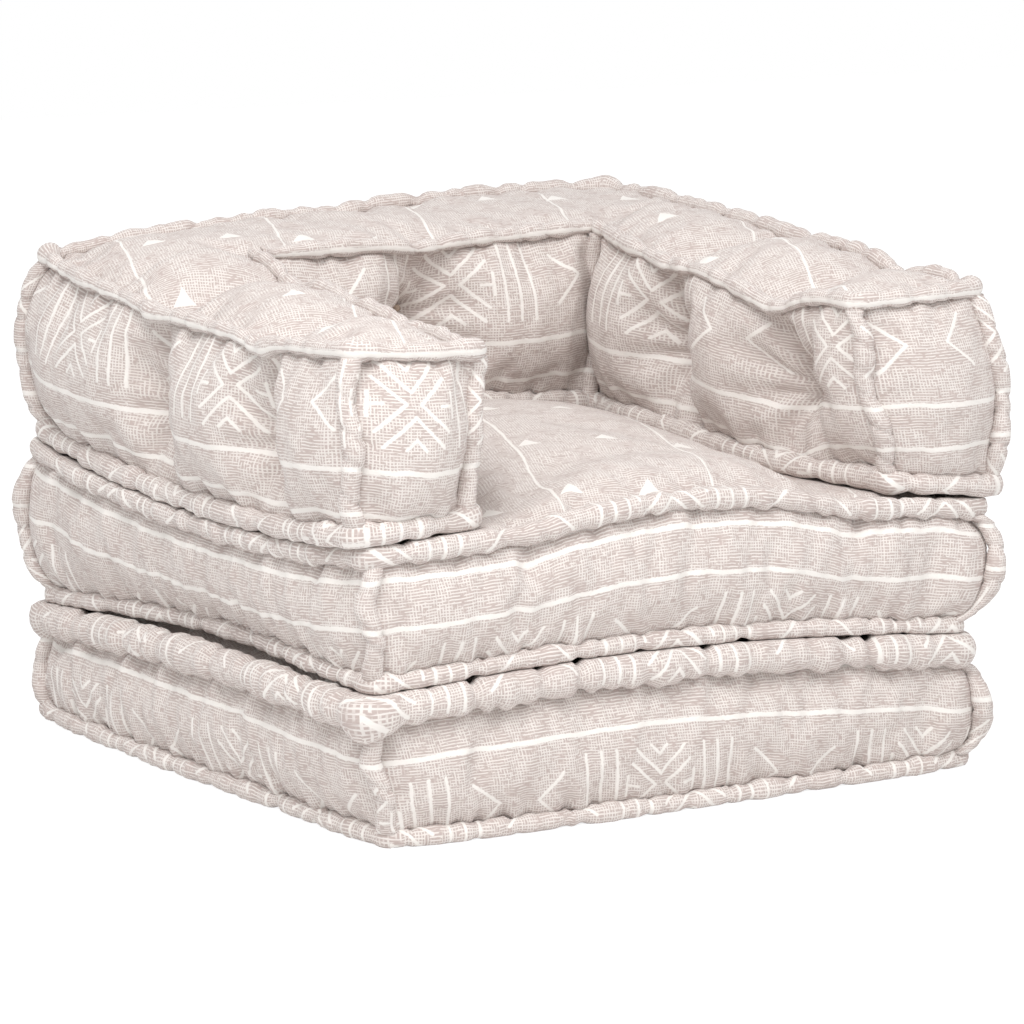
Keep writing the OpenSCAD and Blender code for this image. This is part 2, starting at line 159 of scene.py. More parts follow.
# %% [markdown]
# ## Grids
# A square cover is a plain grid. The U is a grid too, bent round the well: its rows run across
# an arm or the back, and its columns from the front of one arm to the front of the other. As both
# are grids, one function draws the faces and walls of all three covers.

# %% Grids over the square and over the U
SQUARE_CELLS = 72
ARM_CELLS = 62
BACK_CELLS = 56
ACROSS_CELLS = 18
RISE_WIDTH = 0.3           # share of the way to the middle over which a face rises from its seam
PRESSED_FLAT = 0.55        # share of that rise from which a face that is pressed is flat
END_PULL_REACH = 80 * MM   # how far behind the front of an arm its inner corner is still pulled in


def square_grid():
    line = np.linspace(-1, 1, SQUARE_CELLS + 1)
    u, v = np.meshgrid(line, line, indexing="ij")
    m = SQUARE_CELLS
    return {"u": u, "v": v, "corners": [0, m, 2 * m, 3 * m], "nooks": []}


def u_line(half_x, reach):
    """Points from the front of the left arm, round the back, to the front of the right arm."""
    turns = np.cumsum([0, ARM_CELLS, BACK_CELLS, ARM_CELLS])
    cell = np.arange(turns[-1] + 1)
    x = np.interp(cell, turns, (-half_x, -half_x, half_x, half_x))
    y = np.interp(cell, turns, (0, reach, reach, 0)) - SEAM
    return np.stack([x, y], 1)


def u_grid():
    inner = u_line(SEAM - ARM_W, 2 * SEAM - BACK_T)
    outer = u_line(SEAM, 2 * SEAM)
    share = np.linspace(0, 1, ACROSS_CELLS + 1)
    place = inner[:, None] + (outer - inner)[:, None] * share[None, :, None]
    u, v = place[..., 0] / SEAM, place[..., 1] / SEAM
    end_fade = np.clip(1 - (v * SEAM + SEAM)[:, :1] / END_PULL_REACH, 0, 1) ** 2
    v = v + CORNER_PULL / SEAM * end_fade * (1 - share) ** 4
    m, n = len(inner) - 1, ACROSS_CELLS
    return {
        "u": u, "v": v,
        "corners": [0, m, m + n, m + n + ARM_CELLS, m + n + ARM_CELLS + BACK_CELLS, 2 * m + n],
        "nooks": [ARM_CELLS, ARM_CELLS + BACK_CELLS],
    }


square, bent = square_grid(), u_grid()
print("points of the two grids:", square["u"].shape, bent["u"].shape)


# %% The edge of a grid
def rim(values):
    """Values along the edge of a grid, counter-clockwise as seen from above."""
    return np.concatenate([values[:-1, 0], values[-1, :-1], values[:0:-1, -1], values[0, :0:-1]])


def edge_rise(e):
    """Soft rise of a face from its seam, where e goes from 0 at the seam to 1 in the middle."""
    return 1 - (1 - np.clip(e / RISE_WIDTH, 0, 1)) ** 2


def outward(points):
    """Outward direction in the plan at each rim point, lengthened at the corners."""
    before = unit(points - np.roll(points, 1, 0))
    after = unit(np.roll(points, -1, 0) - points)
    a = np.stack([before[:, 1], -before[:, 0]], 1)
    b = np.stack([after[:, 1], -after[:, 0]], 1)
    return (a + b) / (1 + (a * b).sum(1, keepdims=True))


print("points along the two seams:", len(rim(square["u"])), len(rim(bent["u"])))

# %% [markdown]
# ## Where the filling has settled
# Real cushions never stack level. The seat rides up over the front of the base and sinks at the
# rear left, and the near corner of the base is tucked in under it. The shifts are in millimetres.

# %% Levels, tilted at the corners front left, front right, back right and back left
def level_a(u, v):
    return LEVEL_A + tilt(u, v, (5, -8, -8, -27), front=19, left=11, back=8)


def level_b(u, v):
    """The seat is domed, and the U rides on the dome."""
    dome = SEAT_DOME * (1 - u * u) * (1 - v * v) * (0.71 + 0.62 * v)
    return LEVEL_B + tilt(u, v, (18, 1, 2, 25), front=17, left=-23) + dome


def base_top_level(u, v):
    """The base has sunk a little away from the seat along its left side."""
    return level_a(u, v) - 3 * MM * ((1 - u) / 2) ** 6 * (1 - v * v)


def arm_level(u, v, share):
    """Level of the tops of the rolls, from the inner seam to the outer seam of the U."""
    design = LEVEL_B + ARM_H + (BACK_H - ARM_H) * ((1 + v) / 2) ** 2
    inner = tilt(u, v, (-23, 8, -6, 24), right=4, left=-15)
    outer = tilt(u, v, (-6, 6, 8, -28), right=15, back=12, left=-10)
    return design + inner * (1 - share) + outer * share


print("in the middle the modules meet at", round(level_a(0, 0), 3), "and", round(level_b(0, 0), 3))

# %% Shifts of the seams in the plan, for the same corners
SHIFTS = {
    "base_bottom": ((30, 8), (2, 4), (0, 0), (-14, -6)),
    "base_top": ((2, 2), (-8, 2), (0, 0), (0, 0)),
    "seat_bottom": ((8, 0), (-10, 0), (0, 0), (-2, 0)),
    "seat_top": ((2, 0), (10, 0), (0, 0), (-14, 0)),
    "back_bottom": ((-6, 0), (26, 0), (0, 0), (-6, 0)),
    "back_top": ((-14, 0), (5, 0), (0, 0), (-3, 0)),
}


# Spots where a seam was pushed aside: place, reach and push, in millimetres
NUDGES = {
    "back_top": [((-215, -375), 110, (-22, 0, 0)), ((215, -375), 90, (18, 0, -1)),
                 ((215, -195), 80, (0, 0, -12)), ((215, 175), 90, (22, 0, 5))],
    "back_bottom": [((-215, -375), 110, (-46, 0, 0)), ((215, -375), 110, (50, 0, 0)),
                    ((215, 175), 90, (16, 0, 0))],
    "seat_bottom": [((-375, 0), 260, (20, 0, 0))],
    "base_bottom": [((-375, 60), 230, (-12, 0, 0)), ((-60, -375), 260, (0, -11, 0))],
}


def nudge(u, v, shift):
    moved = np.zeros((*u.shape, 3))
    for (x, y), reach, push in NUDGES.get(shift, ()):
        gap = np.hypot(u * SEAM - x * MM, v * SEAM - y * MM)
        moved += bell(gap, reach * MM)[..., None] * np.array(push) * MM
    return moved


def plan(u, v, shift):
    """Place in the plan of the seams and faces, drawn in along the sides and at the corners."""
    x = u * (SEAM - SEAM_DRAW * (1 - v * v) - CORNER_PULL * v ** 8)
    y = v * (SEAM - SEAM_DRAW * (1 - u * u) - CORNER_PULL * u ** 8)
    return np.stack([x, y], -1) + corner_mix(u, v, SHIFTS[shift]) + nudge(u, v, shift)[..., :2]


def roll_reach(r):
    """Height of the top of a roll over its seam."""
    return r + r * ROLL_RISE


near_corner = plan(square["u"], square["v"], "base_bottom")[0, 0]
print("the near corner of the base's bottom seam is at", near_corner.round(3))

# %% [markdown]
# ## Tufts
# Five twine ties pull the walls of the U together: two through each arm and one through the back.
# Each leaves a deep dimple in both faces, draws a crease up to the seam above, and pulls that down.
# A sculpting brush could press them in, but here the mesh is drawn with its dimples, so that they
# stay on their ties whatever the size of the wall.

# %% Places of the tufts
inner_x = SEAM - ARM_W
back_y = SEAM - BACK_T
# The ties of the arms: side, distance behind the front seam, height up the wall, and how far the
# tie pulls the inner and the outer seam down
ARM_TIES = [
    (-1, 185 * MM, 0.42, 6 * MM, 9 * MM),
    (-1, 445 * MM, 0.42, 15 * MM, 5 * MM),
    (1, 140 * MM, 0.47, 13 * MM, 14 * MM),
    (1, 350 * MM, 0.47, 5 * MM, 4 * MM),
]
BACK_TIE_UP = 0.56
BACK_TIE_DROP = 6 * MM
PILLOW_GAP = 46 * MM                  # half width of the valley between two pillows
CREASE_WIDTH = 13 * MM                # half width of the crease from each tie to the seam above it
CREASE_DEPTH = 19 * MM
PLEATS = 7                            # pleats round each tie
PLEAT_SHARE = 0.28
TUFT_REACH = 44 * MM
INNER_DIMPLE = 52 * MM
OUTER_DIMPLE = 56 * MM
SEAM_DIP_REACH = 38 * MM
tufts = []   # place in the plan, height up the wall, depth of the dimple, drop of the seam above
for side, behind, up, inner_drop, outer_drop in ARM_TIES:
    tufts.append((side * inner_x, behind - SEAM, up, INNER_DIMPLE, inner_drop))
    tufts.append((side * SEAM, behind - SEAM, up, OUTER_DIMPLE, outer_drop))
tufts.append((0, back_y, BACK_TIE_UP, INNER_DIMPLE, BACK_TIE_DROP))
tufts.append((0, SEAM, BACK_TIE_UP, OUTER_DIMPLE, BACK_TIE_DROP))
tufts = np.array(tufts)
tuft_places = tufts[:, :2]
print(len(tufts), "dimples, up to", tufts[:, 3].max() / MM, "mm deep")

# %% [markdown]
# ## Drawing a cover
# A cover is drawn as one closed mesh: its top face, rings down its walls and its bottom face.
# Its surface map is in metres of cloth. On the walls it counts along the seam and down from it,
# so the print follows every bulge and pucker. Each side is its own length of cloth. A box could be
# unwrapped afterwards, but a map that is laid while the mesh is drawn is exact from the start.

# %% Pieces with a print map
def new_piece(name, points, faces, maps):
    """points and faces are arrays or lists, and maps has one pair for each corner of each face."""
    mesh = bpy.data.meshes.new(name)
    mesh.from_pydata(np.asarray(points).tolist(), [], faces)
    mesh.uv_layers.new(name="print").data.foreach_set("uv", np.ravel(maps))
    mesh.polygons.foreach_set("use_smooth", [True] * len(faces))
    return linked(name, mesh)


# %% The bulge of a wall, pulled in by its ties
VALLEY_SHARE = 0.95              # how much of the bulge is gone over a tie
DIMPLE_EDGE = 1.4                # between 1, a sharp dimple, and 2, a soft one
CREASE_ENDS = (0.12, 0.3)        # how fast a crease fades at the seam and at its tie, in wall heights
PLEAT_VARIETY = 40               # turns the pleats of each tie another way


def tied_down(swell, h, tops, out, height):
    """The bulge of a wall at height h, less the valley, dimple and crease of each tie."""
    offset = tops[:, None, :2] - tuft_places[None]
    gaps = np.linalg.norm(offset, axis=2)
    above = (h - tufts[:, 2]) * height[:, None]
    sideways = offset[..., 1] * out[:, None, 0] - offset[..., 0] * out[:, None, 1]
    turn = PLEATS * np.arctan2(above, sideways) + tufts[:, 0] * PLEAT_VARIETY
    pleats = 1 + PLEAT_SHARE * np.sin(turn)
    valley = bell(gaps, PILLOW_GAP).max(1)
    reach = np.hypot(gaps, above) / TUFT_REACH
    dimple = (np.exp(-reach ** DIMPLE_EDGE) * pleats * tufts[:, 3]).max(1)
    at_seam, at_tie = CREASE_ENDS
    over = smooth((1 - h) / at_seam) * smooth((h - tufts[:, 2] + at_tie) / at_tie)
    crease = (bell(gaps, CREASE_WIDTH) * over).max(1) * CREASE_DEPTH
    return swell * (1 - VALLEY_SHARE * valley) - dimple - crease


# %% Cover meshes
PANEL_TURN = math.radians(-16)   # the panels are cut a little off the run of the print
WALL_ROUND = 0.75                # below 1 a wall's bulge is boxy
WALL_CELL = 10 * MM
CORNER_CELLS = 4                 # cells over which a corner's own bulge fades into the wall's


def cover_mesh(name, grid, top, bottom, bulge, print_tops, starts, corner_shares, tied=False):
    """top and bottom are arrays of points over the grid. Returns the object and its rim facts.
    print_tops say where the print is cut at the ends of each side, and corner_shares how much
    of the wall's bulge is left at each corner."""
    cells = grid["u"].size
    index = np.arange(cells).reshape(grid["u"].shape)
    tops, bottoms = rim(top), rim(bottom)
    around = len(tops)
    out = outward(tops[:, :2])
    height = np.linalg.norm(tops - bottoms, axis=1)
    side_bulge = np.ones(around)
    for k, at_corner in zip(grid["corners"] + grid["nooks"], corner_shares):
        away = np.abs((np.arange(around) - k + around // 2) % around - around // 2)
        side_bulge *= 1 - (1 - at_corner) * bell(away, CORNER_CELLS)
    levels = max(6, int(round(height.mean() / WALL_CELL)))

    rings = []
    for r in range(1, levels):
        h = 1 - r / levels
        wall = bottoms + (tops - bottoms) * h
        swell = bulge * (4 * h * (1 - h)) ** WALL_ROUND
        if tied:
            swell = tied_down(swell, h, tops, out, height)
        wall[:, :2] += out * (swell * side_bulge)[:, None]
        rings.append(wall)
    ring_index = [rim(index)]
    ring_index += [2 * cells + r * around + np.arange(around) for r in range(levels - 1)]
    ring_index += [cells + rim(index)]

    a, b, c, d = (part.ravel() for part in
                  (index[:-1, :-1], index[1:, :-1], index[1:, 1:], index[:-1, 1:]))
    faces = [np.stack([a, b, c, d], 1), np.stack([a, d, c, b], 1) + cells]
    turn = np.array([[math.cos(PANEL_TURN), -math.sin(PANEL_TURN)],
                     [math.sin(PANEL_TURN), math.cos(PANEL_TURN)]])
    flat = np.concatenate([top[..., :2].reshape(-1, 2)] * 2) @ turn
    maps = [flat[panel] for panel in faces]

    step = np.linalg.norm(np.roll(tops, -1, 0) - tops, axis=1)
    sides = sorted(grid["corners"] + grid["nooks"]) + [around]
    run_start, run_end = np.zeros(around), np.zeros(around)
    cut = np.interp(np.arange(around), sides, np.append(print_tops, print_tops[0]) * MM)
    for first, last, start in zip(sides, sides[1:], starts):
        run = start * MM + np.concatenate([[0], np.cumsum(step[first:last])])
        run_start[first:last], run_end[first:last] = run[:-1], run[1:]
    for r in range(levels):
        upper, lower = ring_index[r], ring_index[r + 1]
        faces.append(np.stack([upper, lower, np.roll(lower, -1), np.roll(upper, -1)], 1))
        v0, v1 = cut + height * r / levels, cut + height * (r + 1) / levels
        corners = ((run_start, v0), (run_start, v1), (run_end, np.roll(v1, -1)), (run_end, np.roll(v0, -1)))
        maps.append(np.stack([np.stack(corner, 1) for corner in corners], 1))

    points = np.concatenate([top.reshape(-1, 3), bottom.reshape(-1, 3)] + rings)
    faces = np.concatenate(faces)
    cover = new_piece(name, points, faces.tolist(), np.concatenate(maps))
    is_wall = np.arange(len(faces)) >= 2 * len(a)
    cover.data.polygons.foreach_set("material_index", is_wall.astype(np.int32))
    print(name, len(faces), "cells before it is puffed")
    return cover, {
        "tops": tops, "bottoms": bottoms, "height": height, "rings": ring_index,
        "run": run_start, "cut": cut, "corners": grid["corners"], "nooks": grid["nooks"],
    }


# %% [markdown]
# ### Base and seat
# Both are square. Where another module or the floor presses on a face, the face is flat inside
# its rolls. The seat swells between the arms, most at the open front, and has a few soft folds
# from sitting. A subdivided box would do for the base, but not for the seat's swell and folds, so
# the height of every point is worked out instead.

# %% Swell and folds of the seat
u, v = square["u"], square["v"]
fullness = edge_rise(1 - np.abs(u)) * edge_rise(1 - np.abs(v))
pressed = np.clip(fullness / PRESSED_FLAT, 0, 1)
WELL_SIDE = (inner_x - roll_reach(ROLL_R)) / SEAM
WELL_REAR = (back_y - roll_reach(ROLL_R)) / SEAM


def seat_swell(u, v):
    across = np.clip(1 - (u / WELL_SIDE) ** 2, 0, 1) * (1 + 0.2 * u / WELL_SIDE)
    along = 1 - np.clip((1 + v) / (1 + WELL_REAR), 0, 1) ** 4
    at_front = FRONT_SHARE + (1 - FRONT_SHARE) * smooth((1 + v) / 0.25)
    return SEAT_SWELL * across * along * at_front


# Folds that sitting has left in the seat: two ends in the plan, depth and half width in millimetres
SEAT_FOLDS = [
    ((-185, -330), (-75, -245), 12, 30),
    ((-75, -245), (50, -235), 8, 30),
    ((30, -90), (95, -230), 6, 30),
]


def seat_folds(u, v):
    depth = np.zeros(u.shape)
    place = np.stack([u, v], -1) * SEAM
    for first, last, deep, wide in SEAT_FOLDS:
        first, last = np.array(first) * MM, np.array(last) * MM
        way = last - first
        share = np.clip(((place - first) @ way) / (way @ way), 0, 1)
        gap = np.linalg.norm(place - first - share[..., None] * way, axis=-1)
        depth = np.maximum(depth, deep * MM * bell(gap, wide * MM))
    return depth


def face(u, v, shift, z):
    return np.concatenate([plan(u, v, shift), z[..., None]], -1)


print("the seat swells by up to", round(seat_swell(u, v).max() / MM, 1), "mm")


# %% Base and seat covers
def sunk(radius):
    """How far a pressed face lies within the reach of its roll."""
    return roll_reach(radius) * (1 - pressed)


base_cover, base_rim = cover_mesh(
    "base_cover", square,
    face(u, v, "base_top", base_top_level(u, v) - REST_GAP - sunk(BASE_ROLL_R)),
    face(u, v, "base_bottom", sunk(LOWER_ROLL_R)),
    bulge=17 * MM,
    print_tops=(69, 58, 64, 96), starts=(-313, 40, 120, -128), corner_shares=(0.6, 1.5, 1.2, 0.7),
)
seat_cover, seat_rim = cover_mesh(
    "seat_cover", square,
    face(u, v, "seat_top",
         level_b(u, v) - REST_GAP - sunk(ROLL_R) + seat_swell(u, v) - seat_folds(u, v)),
    face(u, v, "seat_bottom", level_a(u, v) + REST_GAP + sunk(LOWER_ROLL_R)),
    bulge=19 * MM,
    print_tops=(45, 45, 45, 45), starts=(-157, 90, 30, -336), corner_shares=(0.6, 1.65, 1.3, 1.5),
)

# %% [markdown]
# ### Arms and back
# The top of the U is crowned between its two seams, and each tie pulls both seams down. Three
# blocks could be joined, but the real cover has no seam between arm and back, so it is one grid.

# %% Cover of the arms and the back
CROWN_ROUND = (1.25, 1.35)   # over 1 a crown is pointed, for its outer and its inner half
CROWN_OVER_ROLL = 0.4    # share of a roll's reach that the crown rises over it
CROWN_OVER_DIP = 0.5     # share of a seam's dip that the crown fills out
ub, vb = bent["u"], bent["v"]
share = np.linspace(0, 1, ACROSS_CELLS + 1)[None, :]
arch = 4 * share * (1 - share)
at_end = edge_rise(1 + vb)
crown = arch ** np.where(share > 0.5, *CROWN_ROUND) * at_end
pressed_u = np.clip(arch * at_end / PRESSED_FLAT, 0, 1)
flat_plan = np.stack([ub, vb], -1) * SEAM
tuft_gap = np.linalg.norm(flat_plan[..., None, :] - tuft_places, axis=-1)
dips = (bell(tuft_gap, SEAM_DIP_REACH) * tufts[:, 4]).max(-1)

# Over each tie the top sinks between two pillows. The pillows are fullest on the left arm.
PILLOW_DIP = 2.1         # depth of the sink over a tie, against the rise of its pillows
PILLOW_DIP_REACH = 44 * MM
across, behind_well = flat_plan[..., 0], flat_plan[..., 1] - back_y
tie_gap = np.hypot(across, np.minimum(behind_well, 0))
for side, behind, *_ in ARM_TIES:
    here = np.hypot(flat_plan[..., 1] - (behind - SEAM), np.maximum(behind_well, 0))
    tie_gap = np.where(np.sign(across) == side, np.minimum(tie_gap, here), tie_gap)
pillow = 1 - PILLOW_DIP * bell(tie_gap, PILLOW_DIP_REACH)
fullest = np.where(behind_well > 0, -2, np.where(across < 0, 20, 13)) * MM
top_z = (arm_level(ub, vb, share) - roll_reach(ARM_ROLL_R) * (1 - CROWN_OVER_ROLL * crown)
         + fullest * pillow * crown - dips * (1 - CROWN_OVER_DIP * crown)
         + nudge(ub, vb, "back_top")[..., 2])
back_cover, back_rim = cover_mesh(
    "arm_and_back_cover", bent,
    face(ub, vb, "back_top", top_z),
    face(ub, vb, "back_bottom", level_b(ub, vb) + REST_GAP + roll_reach(ROLL_R) * (1 - pressed_u)),
    bulge=32 * MM, print_tops=(-46,) * 8, starts=(0, -255, -165, 114, 0, 60, -150, -50),
    corner_shares=(0.05, 0.3, 0.6, 0.9, 0.85, 0.45, 0.0, 0.0), tied=True,
)

# %% [markdown]
# ## Puffing the covers
# Pressure inside a slightly loose cover makes the full, softly creased look of stuffed cotton,
# which a smooth bulge by itself doesn't have.
# The seams, the corners and the bottoms of the tufts are sewn and stay where they are, and the few
# per cent of slack gathers into folds beside them.

# %% Cloth simulation with sewn points and a cap
PUFF_FRAMES = 14
PUFF_CAP = 12 * MM       # the furthest that any point may move
CLOTH = {
    "quality": 4, "mass": 0.3, "tension_stiffness": 20, "compression_stiffness": 20,
    "shear_stiffness": 6, "bending_stiffness": 0.6, "use_pressure": True, "vertex_group_mass": "sewn",
    "uniform_pressure_force": 3,
}


def points_of(mesh):
    co = np.empty(len(mesh.vertices) * 3)
    mesh.vertices.foreach_get("co", co)
    return co.reshape(-1, 3)


def set_points(mesh, co):
    mesh.vertices.foreach_set("co", np.ascontiguousarray(co, float).ravel())
    mesh.update()


def finished_mesh(piece):
    """The piece's mesh with its modifiers applied, put in place of the old one."""
    graph = bpy.context.evaluated_depsgraph_get()
    made = bpy.data.meshes.new_from_object(piece.evaluated_get(graph))
    piece.modifiers.clear()
    piece.data = made
    return made


def puff(cover, facts, slack, sewn_extra=()):
    start = points_of(cover.data)
    rings = np.array(facts["rings"])
    sewn = {*rings[0], *rings[-1], *rings[:, facts["corners"] + facts["nooks"]].ravel(), *sewn_extra}
    cover.vertex_groups.new(name="sewn").add(sorted(map(int, sewn)), 1.0, "REPLACE")
    cloth = cover.modifiers.new("puff", "CLOTH")
    for setting, value in {**CLOTH, "shrink_min": -slack}.items():
        setattr(cloth.settings, setting, value)
    cloth.settings.effector_weights.gravity = 0
    cloth.point_cache.frame_start = 1
    cloth.point_cache.frame_end = PUFF_FRAMES
    for f in range(1, PUFF_FRAMES + 1):
        scene.frame_set(f)
    moved = points_of(finished_mesh(cover)) - start
    scene.frame_set(1)
    length = np.linalg.norm(moved, axis=1, keepdims=True)
    moved *= np.minimum(1, PUFF_CAP / np.maximum(length, 1e-9))
    set_points(cover.data, start + moved)
    cover.vertex_groups.clear()
    print(cover.name, "puffed by up to", round(min(float(length.max()), PUFF_CAP) / MM, 1), "mm")


def tuft_vertices(facts):
    """Vertices at the bottoms of the dimples."""
    gaps = np.linalg.norm(facts["tops"][:, None, :2] - tuft_places[None], axis=2)
    levels = len(facts["rings"]) - 1
    return [int(facts["rings"][round(levels * (1 - up))][k]) for k, up in zip(gaps.argmin(0), tufts[:, 2])]


puff(base_cover, base_rim, slack=0.03)
puff(seat_cover, seat_rim, slack=0.03)
puff(back_cover, back_rim, slack=0.04, sewn_extra=tuft_vertices(back_rim))


# %% [markdown]
# A cushion is flat where it lies on something, so no point is left beyond the level at which two
# modules meet.

# %% Keep the faces that touch inside their levels
WELL_MARGIN = 20 * MM
WELL_RISE = 60 * MM      # how far the seat may rise inside the well, and over what width
WELL_RISE_WIDTH = 110 * MM


def seat_limit(u, v):
    """Highest level of the seat: flat under the U, and free to rise inside the well."""
    inside = np.minimum(inner_x - np.abs(u) * SEAM, back_y - v * SEAM) - WELL_MARGIN
    return level_b(u, v) + WELL_RISE * smooth(inside / WELL_RISE_WIDTH)


def floor_level(u, v):
    return -REST_GAP + 0 * u


def keep_levels():
    for cover, lowest, highest in ((base_cover, floor_level, base_top_level),
                                   (seat_cover, level_a, seat_limit), (back_cover, level_b, None)):
        co = points_of(cover.data)
        place = np.clip(co[:, :2].T / SEAM, -1, 1)
        co[:, 2] = np.maximum(co[:, 2], lowest(*place) + REST_GAP)
        if highest:
            co[:, 2] = np.minimum(co[:, 2], highest(*place) - REST_GAP)
        set_points(cover.data, co)
        print(cover.name, "lies from", co[:, 2].min().round(3), "to", co[:, 2].max().round(3))


keep_levels()

# The corner rolls follow these points, taken before the cells are made finer.
covers = {"base": (base_cover, base_rim), "seat": (seat_cover, seat_rim), "back": (back_cover, back_rim)}
columns = {module: points_of(cover.data) for module, (cover, _) in covers.items()}


# %% Finer cells
for cover, _ in covers.values():
    fine = cover.modifiers.new("fine", "SUBSURF")
    fine.levels = fine.render_levels = 1
    finished_mesh(cover)
    print(cover.name, len(cover.data.polygons), "cells")


# %% [markdown]
# ## Seams and stitches
# Every seam is stitched by hand at short, uneven steps, and each stitch pinches the rolled edge
# and gathers the cloth beside it. One list of stitches serves both the roll and the cover, so the
# pucker of one runs into the pucker of the other.

# %% Seams as evenly spaced points, with their stitches
SEAM_STEP = 4 * MM
STITCH_RANGE = (0.4, 1.7)        # each stitch as a share of the seam's usual stitch
PINCH_RANGE = (0.15, 1.0)
LUMP_WAVES = (17, 29, 43, 71, 113)
LUMP_SCALE = 2.6
EAR_LENGTH = 13 * MM


def bumps(run, places, sizes, width, around=None):
    """Round bumps at places along a run, which closes on itself after the length around."""
    total = np.zeros(len(run))
    for at, size in zip(places, sizes):
        gap = (run - at + around / 2) % around - around / 2 if around else run - at
        total = np.maximum(total, size * bell(gap, width))
    return total


class Seam:
    def __init__(self, points, seed, stitch_step, ears, hold=1.0):
        step = np.linalg.norm(np.roll(points, -1, 0) - points, axis=1)
        run = np.concatenate([[0], np.cumsum(step)])
        self.length = run[-1]
        count = int(self.length / SEAM_STEP)
        self.run = np.arange(count) * self.length / count
        closed = np.concatenate([points, points[:1]])
        line = np.stack([np.interp(self.run, run, closed[:, axis]) for axis in range(3)], 1)
        for _ in range(2):
            line = (np.roll(line, 1, 0) + 2 * line + np.roll(line, -1, 0)) / 4
        self.points = line
        self.rim_run = run
        along = unit(np.roll(line, -3, 0) - np.roll(line, 3, 0))
        self.out = unit(np.stack([along[:, 1], -along[:, 0], np.zeros(count)], 1))
        rng = np.random.default_rng(seed)
        places, at = [], rng.uniform(0, stitch_step)
        while at < self.length - stitch_step / 2:
            places.append(at)
            at += stitch_step * rng.uniform(*STITCH_RANGE)
        self.stitches = np.array(places)
        self.pinch = hold * rng.uniform(*PINCH_RANGE, len(places))
        self.ear_sizes = ears
        self.wander = rng.uniform(0, 2 * math.pi, len(LUMP_WAVES))

    def puckers(self, run, width):
        """Pull of the stitches at places along the seam, from 0 to about 1."""
        return bumps(run, self.stitches, self.pinch, width, self.length)

    def lumps(self, run):
        """Slow uneven thickness of the stuffing, about -1 to 1."""
        turn = 2 * math.pi * run / self.length
        return sum(np.sin(w * turn + p) for w, p in zip(LUMP_WAVES, self.wander)) / LUMP_SCALE

    def ears(self, corners):
        """Bulge of the spare cloth tucked in at each corner, as a share of the roll."""
        return bumps(self.run, self.rim_run[corners], self.ear_sizes, EAR_LENGTH, self.length)


seams = {
    "base_top": Seam(base_rim["tops"], 11, 46 * MM, (0.8, 0.3, 0.3, 0.5), hold=1.15),
    "base_bottom": Seam(base_rim["bottoms"], 12, 48 * MM, (0.5, 0.4, 0.4, 0.4)),
    "seat_top": Seam(seat_rim["tops"], 13, 38 * MM, (0.3, 0.5, 0.4, 0.4)),
    "seat_bottom": Seam(seat_rim["bottoms"], 14, 36 * MM, (0.4, 0.4, 0.4, 0.9)),
    "back_top": Seam(back_rim["tops"], 15, 40 * MM, (0.4, 0.5, 0.4, 0.6, 0.35, 0.4)),
    "back_bottom": Seam(back_rim["bottoms"], 16, 34 * MM, (0.4, 0.5, 0.4, 0.4, 0.4, 0.4)),
}
for name, seam in seams.items():
    print(name, "seam", round(seam.length, 2), "m,", len(seam.stitches), "stitches")

# %% Pinch each cover beside its stitches
PUCKER_DEPTH = 7 * MM
PUCKER_REACH = 26 * MM
PUCKER_WIDTH = 4.5 * MM
PUCKER_SPREAD = 0.22             # how fast a pucker widens away from its seam
PUCKER_MEAN = 0.25
FOLD_DEPTH = 3.5 * MM            # broad folds, which run from a seam far into the wall
FOLD_REACH = 80 * MM
FOLD_SLANT = 0.3


def gather(cover, names):
    mesh = cover.data
    co = points_of(mesh)
    normals = np.empty(len(co) * 3)
    mesh.vertices.foreach_get("normal", normals)
    normals = normals.reshape(-1, 3)
    pull = np.zeros(len(co))
    for name in names:
        seam = seams[name]
        tree = kdtree.KDTree(len(seam.points))
        for k, p in enumerate(seam.points):
            tree.insert(p, k)
        tree.balance()
        _, nearest, gap = zip(*(tree.find(p) for p in co))
        gap, run = np.array(gap), seam.run[list(nearest)]
        width = PUCKER_WIDTH + PUCKER_SPREAD * gap
        near = np.exp(-gap / PUCKER_REACH) * smooth(gap / (3 * MM))
        pull += PUCKER_DEPTH * near * (seam.puckers(run, width) - PUCKER_MEAN)
        folds = np.exp(-gap / FOLD_REACH) * smooth(gap / (8 * MM))
        pull += FOLD_DEPTH * folds * seam.lumps(run + FOLD_SLANT * gap)
    set_points(mesh, co - normals * pull[:, None])
    print(cover.name, "pinched by up to", round(pull.max() / MM, 1), "mm")


for module, (cover, _) in covers.items():
    gather(cover, (module + "_top", module + "_bottom"))
keep_levels()


# %% [markdown]
# ## Rolled edges
# The rolls are tubes of the same cloth, stuffed and stitched along the seam. A curve with a bevel
# would be quicker, but it can't carry the pinches, so the tubes are drawn ring by ring. The map
# carries on from the wall, so that the print runs over the roll.

# %% Tubes that carry the print
ROLL_SIDES = 18


